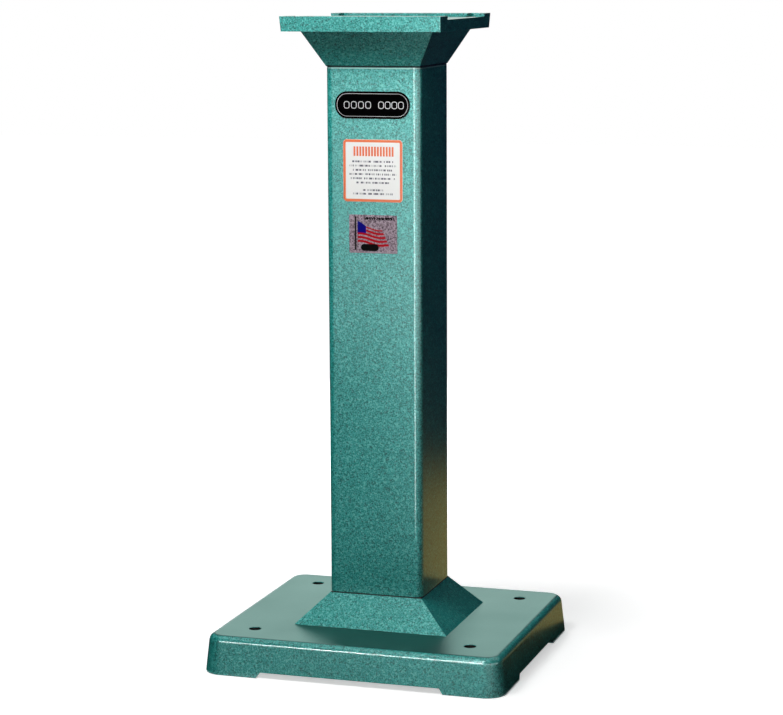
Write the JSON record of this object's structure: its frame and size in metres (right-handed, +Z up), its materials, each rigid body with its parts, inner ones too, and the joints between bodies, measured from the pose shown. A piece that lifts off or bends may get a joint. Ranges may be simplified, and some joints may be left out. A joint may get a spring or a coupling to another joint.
{
  "type": "bench grinder stand",
  "caption": "Free-standing pedestal: a square post between hollow pyramid collars, on a heavy base with floor bolt holes, under a channelled plate for a bench grinder.",
  "frame": {"origin": "on the floor, under the middle of the base and the post's axis", "axes": "+Z up the post, +X to the right along the machine plate's channel, +Y to the rear; the face with the nameplate and labels looks along -Y"},
  "size_m": [0.405, 0.358, 0.843],
  "materials": {
    "hammered_enamel": "hammered gloss enamel",
    "zinc_plated_steel": "zinc plated",
    "plain_steel": "oiled",
    "black_plate": "black print, satin",
    "printed_vinyl": "satin print",
    "printed_foil": "metallic print"
  },
  "bodies": {
    "root": {"base_casting": "hammered_enamel", "lower_collar": "hammered_enamel", "post_tube": "hammered_enamel", "upper_collar": "hammered_enamel", "top_plate": "hammered_enamel", "tie_rod": "plain_steel", "tie_rod_washers": "zinc_plated_steel", "tie_rod_nuts": "zinc_plated_steel", "collar_screws": "zinc_plated_steel", "plate_screws": "zinc_plated_steel", "nameplate": "black_plate", "notice_label": "printed_vinyl", "foil_label": "printed_foil"}
  },
  "joints": []
}
